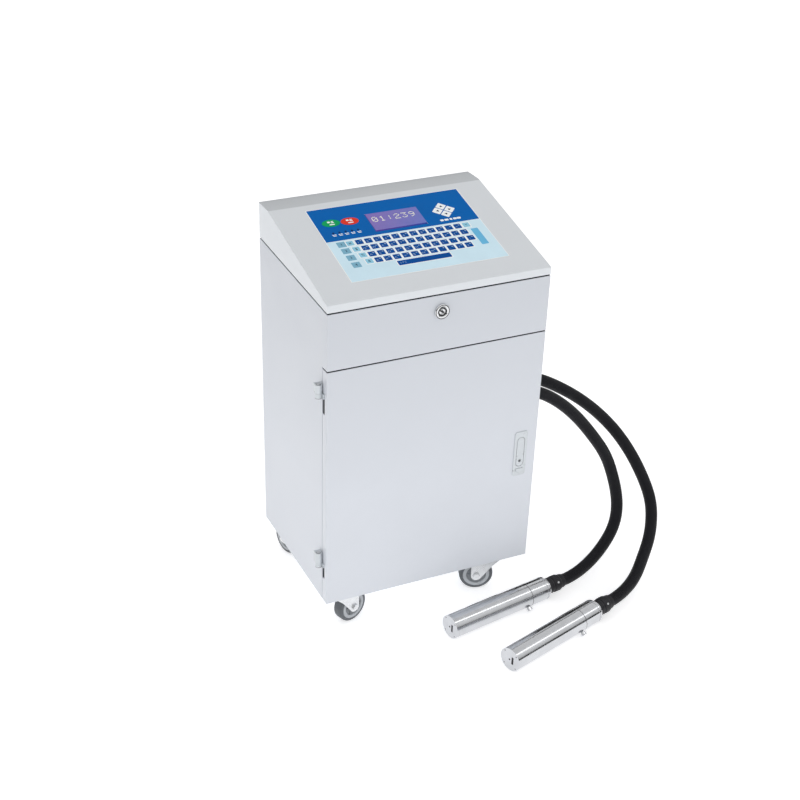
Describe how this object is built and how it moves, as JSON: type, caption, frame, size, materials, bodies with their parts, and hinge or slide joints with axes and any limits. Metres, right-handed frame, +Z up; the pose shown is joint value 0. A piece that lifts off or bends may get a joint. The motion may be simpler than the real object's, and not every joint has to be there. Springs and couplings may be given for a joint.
{
  "type": "date code inkjet printer",
  "caption": "Floor-standing continuous inkjet date coder: caster cabinet with service door, hinged keyboard console and tubular print heads on umbilical hoses.",
  "frame": {"origin": "on the floor under the middle of the cabinet's plan, taken over the closed door", "axes": "+Z up, -Y out of the front with the door and key overlay, +X to the right as seen from the front"},
  "size_m": [0.7652, 0.5799, 0.7857],
  "materials": {
    "cabinet_paint": "satin powder coat",
    "gasket_rubber": "matt",
    "foam_seal": "matt foam",
    "hinge_zinc": "painted zinc",
    "pin_steel": "satin",
    "zinc_plate": "zinc plated",
    "psu_case": "zinc plated",
    "circuit_board": "solder mask",
    "potting": "matt",
    "fan_plastic": "matt",
    "grille_paint": "matt",
    "inlet_plastic": "matt",
    "connector_metal": "satin",
    "gland_nylon": "satin",
    "tank_plastic": "satin",
    "bottle_black": "gloss",
    "bottle_natural": "translucent",
    "filter_shell": "satin",
    "pump_metal": "satin",
    "manifold_metal": "machined",
    "tube_plastic": "translucent",
    "tray_steel": "brushed",
    "lock_chrome": "polished",
    "caster_zinc": "zinc plated",
    "chassis_alloy": "machined",
    "head_steel": "brushed",
    "nozzle_steel": "machined",
    "deflector_steel": "polished",
    "fitting_nylon": "satin",
    "hose_jacket": "woven sheath",
    "console_paint": "satin powder coat",
    "lid_hinge_steel": "satin",
    "overlay_film": "printed polyester",
    "display": "blue-violet display",
    "keypad_pcb": "solder mask",
    "catch_zinc": "zinc plated",
    "plug_brass": "nickel plated",
    "door_paint": "satin powder coat",
    "door_hinge_zinc": "painted zinc",
    "latch_chrome": "satin chrome",
    "paddle_chrome": "satin chrome",
    "button_chrome": "satin chrome",
    "cam_steel": "zinc plated",
    "impeller_plastic": "matt",
    "rocker_red": "gloss",
    "fork_zinc": "zinc plated",
    "wheel_rubber": "matt rubber",
    "cover_steel": "brushed stainless",
    "cap_steel": "turned stainless",
    "screw_steel": "knurled"
  },
  "bodies": {
    "cabinet": {"cabinet_shell": "cabinet_paint", "top_gasket": "gasket_rubber", "door_gasket": "foam_seal", "hinge_leaves": "hinge_zinc", "hinge_pins": "pin_steel", "equipment_shelf": "zinc_plate", "power_supply": "psu_case", "main_board": "circuit_board", "hv_module": "potting", "fan_frame": "fan_plastic", "vent_grille": "grille_paint", "power_inlet": "inlet_plastic", "signal_sockets": "connector_metal", "hose_glands": "gland_nylon", "ink_tank": "tank_plastic", "ink_bottle": "bottle_black", "solvent_bottle": "bottle_natural", "filters": "filter_shell", "ink_pump": "pump_metal", "valve_manifold": "manifold_metal", "ink_tubes": "tube_plastic", "drip_tray": "tray_steel", "lock_housing": "lock_chrome", "caster_plates": "caster_zinc", "head_chassis": "chassis_alloy", "head_rear_blocks": "head_steel", "nozzle_units": "nozzle_steel", "deflector_sets": "deflector_steel", "head_fittings": "fitting_nylon", "hose_1": "hose_jacket", "hose_2": "hose_jacket"},
    "console": {"lid_shell": "console_paint", "lid_hinge_leaves": "lid_hinge_steel", "key_overlay": "overlay_film", "lcd_module": "display", "keypad_board": "keypad_pcb", "lid_catch": "catch_zinc"},
    "console_lock": {"lock_plug": "plug_brass"},
    "door": {"door_pan": "door_paint", "door_hinge_leaves": "door_hinge_zinc", "latch_bezel": "latch_chrome"},
    "paddle": {"latch_paddle": "paddle_chrome"},
    "push_button": {"latch_button": "button_chrome"},
    "door_cam": {"latch_cam": "cam_steel"},
    "fan_rotor": {"fan_impeller": "impeller_plastic"},
    "rocker": {"power_rocker": "rocker_red"},
    "swivel_fl": {"fork_fl": "fork_zinc"},
    "rolling_fl": {"wheel_fl": "wheel_rubber"},
    "swivel_fr": {"fork_fr": "fork_zinc"},
    "rolling_fr": {"wheel_fr": "wheel_rubber"},
    "swivel_bl": {"fork_bl": "fork_zinc"},
    "rolling_bl": {"wheel_bl": "wheel_rubber"},
    "swivel_br": {"fork_br": "fork_zinc"},
    "rolling_br": {"wheel_br": "wheel_rubber"},
    "cover_1": {"head_cover_1": "cover_steel", "head_cap_1": "cap_steel"},
    "screw_1": {"thumb_screw_1": "screw_steel"},
    "cover_2": {"head_cover_2": "cover_steel", "head_cap_2": "cap_steel"},
    "screw_2": {"thumb_screw_2": "screw_steel"}
  },
  "joints": [
    {"name": "console_hinge", "type": "hinge", "parent": "cabinet", "child": "console", "pos_m": [0, 0.1685, 0.7165], "axis": [-1, 0, 0], "range_deg": [0, 75]},
    {"name": "console_lock_turn", "type": "hinge", "parent": "cabinet", "child": "console_lock", "pos_m": [0, -0.15, 0.6687], "axis": [0, 1, 0], "range_deg": [0, 90]},
    {"name": "door_hinge", "type": "hinge", "parent": "cabinet", "child": "door", "pos_m": [-0.222, -0.141, 0.346], "axis": [0, 0, -1], "range_deg": [0, 110]},
    {"name": "paddle_lift", "type": "hinge", "parent": "door", "child": "paddle", "pos_m": [0.182, -0.1615, 0.3659], "axis": [-1, 0, 0], "range_deg": [0, 50]},
    {"name": "button_press", "type": "slide", "parent": "door", "child": "push_button", "axis": [0, 1, 0], "range_m": [0, 0.0025], "stiffness_N_per_m": 300, "springref_m": -0.001},
    {"name": "door_cam_turn", "type": "hinge", "parent": "door", "child": "door_cam", "pos_m": [0.182, -0.14, 0.323], "axis": [0, -1, 0], "range_deg": [0, 90]},
    {"name": "fan_spin", "type": "hinge", "parent": "cabinet", "child": "fan_rotor", "pos_m": [0.13, 0.1455, 0.42], "axis": [0, 1, 0], "continuous": true},
    {"name": "rocker_tilt", "type": "hinge", "parent": "cabinet", "child": "rocker", "pos_m": [-0.14, 0.159, 0.446], "axis": [1, 0, 0], "range_deg": [0, 16]},
    {"name": "caster_swivel_fl", "type": "hinge", "parent": "cabinet", "child": "swivel_fl", "pos_m": [-0.16, -0.108, 0.083], "axis": [0, 0, 1], "continuous": true},
    {"name": "caster_roll_fl", "type": "hinge", "parent": "swivel_fl", "child": "rolling_fl", "pos_m": [-0.13933, -0.10048, 0.034], "axis": [-0.342, 0.9397, 0], "continuous": true},
    {"name": "caster_swivel_fr", "type": "hinge", "parent": "cabinet", "child": "swivel_fr", "pos_m": [0.16, -0.108, 0.083], "axis": [0, 0, 1], "continuous": true},
    {"name": "caster_roll_fr", "type": "hinge", "parent": "swivel_fr", "child": "rolling_fr", "pos_m": [0.13933, -0.10048, 0.034], "axis": [-0.342, -0.9397, 0], "continuous": true},
    {"name": "caster_swivel_bl", "type": "hinge", "parent": "cabinet", "child": "swivel_bl", "pos_m": [-0.16, 0.139, 0.083], "axis": [0, 0, 1], "continuous": true},
    {"name": "caster_roll_bl", "type": "hinge", "parent": "swivel_bl", "child": "rolling_bl", "pos_m": [-0.16532, 0.16035, 0.034], "axis": [-0.9703, -0.2419, 0], "continuous": true},
    {"name": "caster_swivel_br", "type": "hinge", "parent": "cabinet", "child": "swivel_br", "pos_m": [0.16, 0.139, 0.083], "axis": [0, 0, 1], "continuous": true},
    {"name": "caster_roll_br", "type": "hinge", "parent": "swivel_br", "child": "rolling_br", "pos_m": [0.17802, 0.15162, 0.034], "axis": [-0.5736, 0.8192, 0], "continuous": true},
    {"name": "cover_slide_1", "type": "slide", "parent": "cabinet", "child": "cover_1", "axis": [-0.9848, -0.1736, 0], "range_m": [0, 0.22]},
    {"name": "thumb_screw_turn_1", "type": "hinge", "parent": "cover_1", "child": "screw_1", "pos_m": [0.19624, -0.22329, 0.01019], "axis": [0.1473, -0.8352, -0.5299], "range_deg": [0, 360]},
    {"name": "cover_slide_2", "type": "slide", "parent": "cabinet", "child": "cover_2", "axis": [-0.9563, -0.2924, 0], "range_m": [0, 0.22]},
    {"name": "thumb_screw_turn_2", "type": "hinge", "parent": "cover_2", "child": "screw_2", "pos_m": [0.25283, -0.33127, 0.01019], "axis": [0.2479, -0.811, -0.5299], "range_deg": [0, 360]}
  ]
}
